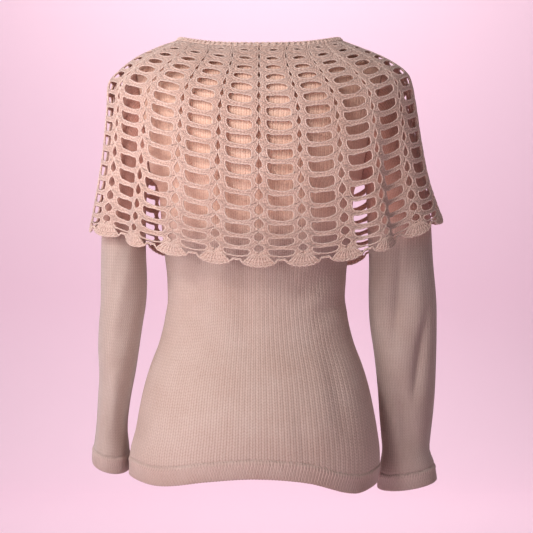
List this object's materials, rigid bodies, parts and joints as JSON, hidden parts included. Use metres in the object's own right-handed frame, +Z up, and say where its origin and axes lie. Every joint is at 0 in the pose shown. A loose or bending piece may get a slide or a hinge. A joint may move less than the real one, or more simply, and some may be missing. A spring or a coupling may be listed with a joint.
{
  "type": "knitted pullover with crochet cape collar",
  "caption": "Fine-knit long-sleeved pullover with a round openwork crochet cape collar, scalloped edge, turned hem and cuffs, filled out as if worn and hollow.",
  "frame": {"origin": "midway between the two points where the shoulders meet the neck, at their height, where the top hangs on its wearer", "axes": "+Z up, -Y out of the garment's back, +X to its own right side, so its left sleeve is at -X"},
  "size_m": [0.477, 0.2756, 0.6142],
  "materials": {
    "knit": "matt fine wool stockinette, pale pink",
    "band": "matt fine wool, turned double",
    "crochet": "soft slightly fuzzy wool crochet, pale pink"
  },
  "bodies": {
    "root": {"back_panel": "knit", "front_panel": "knit", "sleeve_left": "knit", "sleeve_right": "knit", "hem_back": "band", "hem_front": "band", "cuff_left": "band", "cuff_right": "band", "neck_edge": "crochet", "cape_back": "crochet", "cape_front": "crochet", "edging_back": "crochet", "edging_front": "crochet"}
  },
  "joints": []
}
